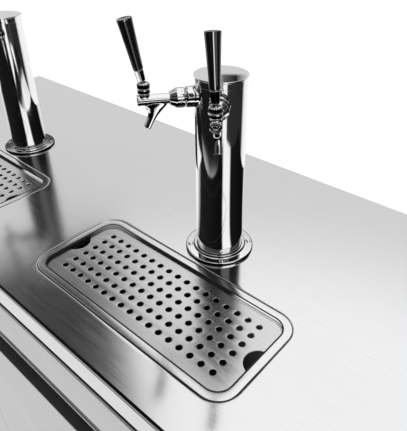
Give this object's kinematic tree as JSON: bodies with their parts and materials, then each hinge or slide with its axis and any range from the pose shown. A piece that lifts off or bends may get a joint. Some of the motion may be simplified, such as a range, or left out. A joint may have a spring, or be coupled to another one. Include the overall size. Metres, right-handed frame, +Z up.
{
  "type": "kegerator",
  "caption": "Stainless draft beer cooler: chrome draft towers with lever taps, sunken drip trays with perforated grates, hinged doors over keg bays and a louvred machine compartment.",
  "frame": {"origin": "on the floor, under the middle of the worktop", "axes": "+Z up, +X to the user's right along the worktop, -Y towards the user at the doors and taps"},
  "size_m": [1.5, 0.61, 1.3215],
  "materials": {
    "brushed_steel": "satin",
    "worktop_steel": "satin",
    "tray_steel": "satin",
    "grate_steel": "satin",
    "leg_steel": "satin",
    "zinc_steel": "satin",
    "liner": "satin",
    "foam": "matte",
    "door_inner": "satin",
    "board": "matte",
    "gasket": "matte",
    "black_grip": "satin",
    "black_gloss": "gloss",
    "black_paint": "satin",
    "fin_aluminium": "matte",
    "fan_plastic": "satin",
    "copper": "satin",
    "cord_rubber": "matte",
    "chrome": "polished",
    "clear_hose": "gloss",
    "gas_hose": "gloss",
    "bottle_aluminium": "satin",
    "wheel_green": "satin",
    "brass": "satin"
  },
  "bodies": {
    "cabinet": {"cabinet_shell": "brushed_steel", "cabinet_insulation": "foam", "inner_liner": "liner", "legs": "leg_steel", "worktop": "worktop_steel", "worktop_core": "board", "drip_trays": "tray_steel", "drain_hoses": "clear_hose", "hinge_brackets": "zinc_steel", "grille_panel": "brushed_steel", "control_box": "black_grip", "compressor": "black_paint", "condenser_coil": "fin_aluminium", "evaporator_coil": "fin_aluminium", "evaporator_cover": "liner", "fan_motors": "black_paint", "refrigerant_pipes": "copper", "rear_cover": "zinc_steel", "power_cord": "cord_rubber", "tower_columns": "chrome", "tower_caps": "chrome", "tower_flanges": "chrome", "flange_screws": "chrome", "faucet_shanks": "chrome", "faucet_collars": "chrome", "faucet_bodies": "chrome", "beer_lines": "clear_hose", "keg_couplers": "chrome", "co2_cylinder": "bottle_aluminium", "co2_regulator": "brass", "gas_lines": "gas_hose"},
    "left_door": {"left_door_skin": "brushed_steel", "left_door_core": "door_inner", "left_door_gasket": "gasket", "left_door_handle": "black_grip"},
    "right_door": {"right_door_skin": "brushed_steel", "right_door_core": "door_inner", "right_door_gasket": "gasket", "right_door_handle": "black_grip"},
    "left_grate": {"left_grate": "grate_steel"},
    "right_grate": {"right_grate": "grate_steel"},
    "condenser_fan": {"condenser_fan_blade": "fan_plastic"},
    "evaporator_fan": {"evaporator_fan_blade": "fan_plastic"},
    "thermostat_knob": {"thermostat_knob": "black_gloss"},
    "regulator_knob": {"regulator_knob": "black_gloss"},
    "cylinder_handwheel": {"cylinder_handwheel": "wheel_green"},
    "coupler_handle_1": {"coupler_handle_1": "black_grip"},
    "coupler_handle_2": {"coupler_handle_2": "black_grip"},
    "tap_lever_1": {"faucet_lever_1": "chrome", "tap_handle_1": "black_gloss"},
    "tap_shaft_1": {"faucet_shaft_1": "chrome"},
    "tap_lever_2": {"faucet_lever_2": "chrome", "tap_handle_2": "black_gloss"},
    "tap_shaft_2": {"faucet_shaft_2": "chrome"},
    "tap_lever_3": {"faucet_lever_3": "chrome", "tap_handle_3": "black_gloss"},
    "tap_shaft_3": {"faucet_shaft_3": "chrome"},
    "tap_lever_4": {"faucet_lever_4": "chrome", "tap_handle_4": "black_gloss"},
    "tap_shaft_4": {"faucet_shaft_4": "chrome"}
  },
  "joints": [
    {"name": "left_door_hinge", "type": "hinge", "parent": "cabinet", "child": "left_door", "pos_m": [-0.736, -0.292, 0.5], "axis": [0, 0, -1], "range_deg": [0, 105]},
    {"name": "right_door_hinge", "type": "hinge", "parent": "cabinet", "child": "right_door", "pos_m": [0.449, -0.292, 0.5], "axis": [0, 0, 1], "range_deg": [0, 105]},
    {"name": "tap_lever_1_tilt", "type": "hinge", "parent": "cabinet", "child": "tap_lever_1", "pos_m": [-0.3656, -0.08705, 1.2285], "axis": [0.7986, -0.6018, 0], "range_deg": [0, 19]},
    {"name": "tap_shaft_1_slide", "type": "slide", "parent": "cabinet", "child": "tap_shaft_1", "axis": [0.6018, 0.7986, 0], "range_m": [0, 0.00607]},
    {"name": "tap_lever_2_tilt", "type": "hinge", "parent": "cabinet", "child": "tap_lever_2", "pos_m": [-0.2344, -0.08705, 1.2285], "axis": [0.7986, 0.6018, 0], "range_deg": [0, 19]},
    {"name": "tap_shaft_2_slide", "type": "slide", "parent": "cabinet", "child": "tap_shaft_2", "axis": [-0.6018, 0.7986, 0], "range_m": [0, 0.00607]},
    {"name": "tap_lever_3_tilt", "type": "hinge", "parent": "cabinet", "child": "tap_lever_3", "pos_m": [0.2344, -0.08705, 1.2285], "axis": [0.7986, -0.6018, 0], "range_deg": [-19, 0]},
    {"name": "tap_shaft_3_slide", "type": "slide", "parent": "cabinet", "child": "tap_shaft_3", "axis": [0.6018, 0.7986, 0], "range_m": [-0.00607, 0]},
    {"name": "tap_lever_4_tilt", "type": "hinge", "parent": "cabinet", "child": "tap_lever_4", "pos_m": [0.36483, -0.08763, 1.22847], "axis": [0.7975, 0.601, 0.0523], "range_deg": [0, 19]},
    {"name": "tap_shaft_4_slide", "type": "slide", "parent": "cabinet", "child": "tap_shaft_4", "axis": [-0.6018, 0.7986, 0], "range_m": [0, 0.00607]},
    {"name": "left_grate_lift", "type": "slide", "parent": "cabinet", "child": "left_grate", "axis": [0, 0, 1], "range_m": [0, 0.08]},
    {"name": "right_grate_lift", "type": "slide", "parent": "cabinet", "child": "right_grate", "axis": [0, 0, 1], "range_m": [0, 0.08]},
    {"name": "condenser_fan_spin", "type": "hinge", "parent": "cabinet", "child": "condenser_fan", "pos_m": [0.6065, -0.1685, 0.265], "axis": [0, 1, 0], "continuous": true},
    {"name": "evaporator_fan_spin", "type": "hinge", "parent": "cabinet", "child": "evaporator_fan", "pos_m": [0.372, 0.02, 0.65], "axis": [1, 0, 0], "continuous": true},
    {"name": "thermostat_turn", "type": "hinge", "parent": "cabinet", "child": "thermostat_knob", "pos_m": [0.5465, -0.29, 0.75575], "axis": [0, 1, 0], "range_deg": [0, 270]},
    {"name": "regulator_turn", "type": "hinge", "parent": "cabinet", "child": "regulator_knob", "pos_m": [-0.0739, 0.125, 0.5705], "axis": [0, 1, 0], "range_deg": [0, 540]},
    {"name": "cylinder_valve_turn", "type": "hinge", "parent": "cabinet", "child": "cylinder_handwheel", "pos_m": [-0.16, 0.15, 0.5975], "axis": [0, 0, 1], "range_deg": [0, 540]},
    {"name": "coupler_handle_1_press", "type": "hinge", "parent": "cabinet", "child": "coupler_handle_1", "pos_m": [-0.45, -0.00719, 0.7725], "axis": [1, 0, 0], "range_deg": [0, 35]},
    {"name": "coupler_handle_2_press", "type": "hinge", "parent": "cabinet", "child": "coupler_handle_2", "pos_m": [0.13, -0.00719, 0.7725], "axis": [1, 0, 0], "range_deg": [0, 35]}
  ],
  "couplings": [
    {"joint": "tap_shaft_1_slide", "follows": "tap_lever_1_tilt", "m_per_rad": 0.018305},
    {"joint": "tap_shaft_2_slide", "follows": "tap_lever_2_tilt", "m_per_rad": 0.018305},
    {"joint": "tap_shaft_3_slide", "follows": "tap_lever_3_tilt", "m_per_rad": 0.018305},
    {"joint": "tap_shaft_4_slide", "follows": "tap_lever_4_tilt", "m_per_rad": 0.018305}
  ]
}
